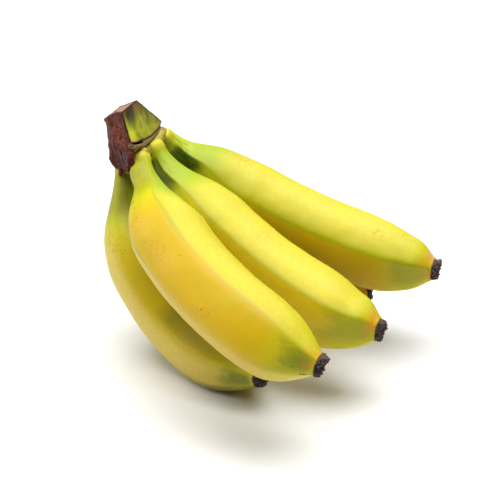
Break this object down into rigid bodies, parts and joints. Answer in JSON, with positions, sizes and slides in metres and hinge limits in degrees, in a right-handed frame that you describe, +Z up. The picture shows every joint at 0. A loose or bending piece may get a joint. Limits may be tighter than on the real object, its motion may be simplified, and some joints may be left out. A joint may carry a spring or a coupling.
{
  "type": "bunch of bananas",
  "caption": "Cut hand of ripe yellow bananas on a brown crown, lying on the bellies of its outer fruits, each with a dried flower end.",
  "frame": {"origin": "middle of the bounding box, on the surface that the bunch rests on", "axes": "+Z up; +X from the crown towards the tips of the right-hand fruits; -Y is the side that the upper fruits curve out to"},
  "size_m": [0.1885, 0.1764, 0.143],
  "materials": {
    "peel": "waxy satin banana peel, lemon to golden yellow, green at neck and tip, fine brown freckles",
    "crown_skin": "dry leathery red-brown crown with streaks, one smooth olive-green side and a pale dry cut top",
    "dried_flower": "rough, nearly black dried flower remnant with a pale brown ragged rim"
  },
  "bodies": {
    "root": {"crown": "crown_skin", "banana_right": "peel", "banana_middle": "peel", "banana_front": "peel", "banana_left": "peel", "banana_rear": "peel", "blossom_end_right": "dried_flower", "blossom_end_middle": "dried_flower", "blossom_end_front": "dried_flower", "blossom_end_left": "dried_flower", "blossom_end_rear": "dried_flower"}
  },
  "joints": []
}
